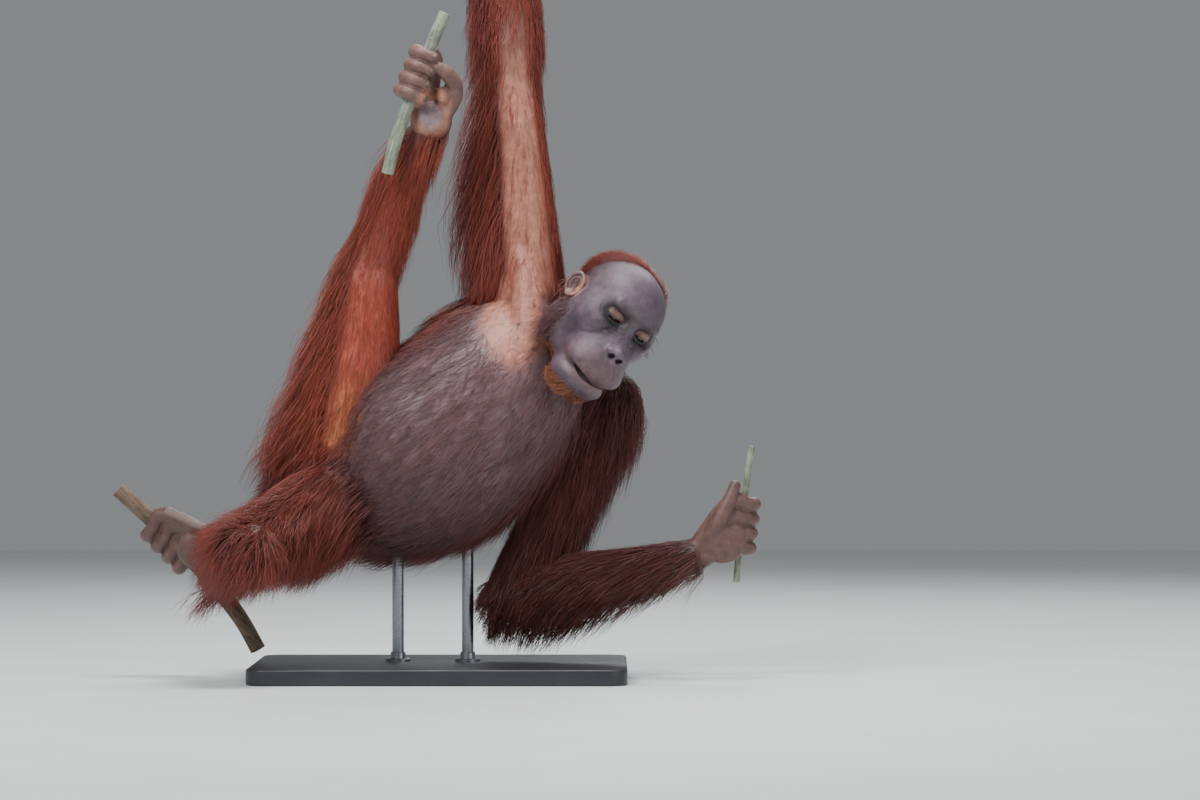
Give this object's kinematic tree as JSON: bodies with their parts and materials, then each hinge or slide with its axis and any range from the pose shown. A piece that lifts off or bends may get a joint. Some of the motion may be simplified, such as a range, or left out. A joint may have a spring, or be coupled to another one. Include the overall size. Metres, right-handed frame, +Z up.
{
  "type": "orangutan display model",
  "caption": "Life-size still model of a red ape hanging by one arm, its feet and other hand gripping short cut stems, on a flat stand with two short rods.",
  "frame": {"origin": "middle of the underside of the bounding box, on the floor under the stand", "axes": "+Z up, -Y towards the viewer who sees the chest, +X the animal's left"},
  "size_m": [0.9748, 0.4792, 1.3438],
  "materials": {
    "coat": "long straight reddish-brown hair",
    "dark_coat": "long straight dark maroon hair",
    "belly_coat": "sparse hair over greyish purple skin, denser on the back",
    "face_skin": "bare greyish lilac skin with red-brown hair round it",
    "hand_skin": "bare grey-brown skin",
    "ear_skin": "thin flesh-coloured skin",
    "eye": "dark wet gloss",
    "branch_bark": "rough brown bark",
    "vine_bark": "smooth pale grey-green bark",
    "stand_board": "satin black paint on board",
    "stand_rod": "brushed"
  },
  "bodies": {
    "root": {"neck": "coat", "upper_arm_r": "coat", "forearm_r": "coat", "thigh_r": "coat", "shin_r": "coat", "thigh_l": "coat", "shin_l": "coat", "upper_arm_l": "dark_coat", "forearm_l": "dark_coat", "torso": "belly_coat", "head": "face_skin", "hand_r": "hand_skin", "hand_l": "hand_skin", "foot_r": "hand_skin", "foot_l": "hand_skin", "ear_r": "ear_skin", "ear_l": "ear_skin", "eye_r": "eye", "eye_l": "eye", "perch_overhead": "branch_bark", "perch_branch": "branch_bark", "perch_vine": "vine_bark", "perch_twig": "vine_bark", "stand_base": "stand_board", "stand_rod_1": "stand_rod", "stand_rod_2": "stand_rod"}
  },
  "joints": []
}
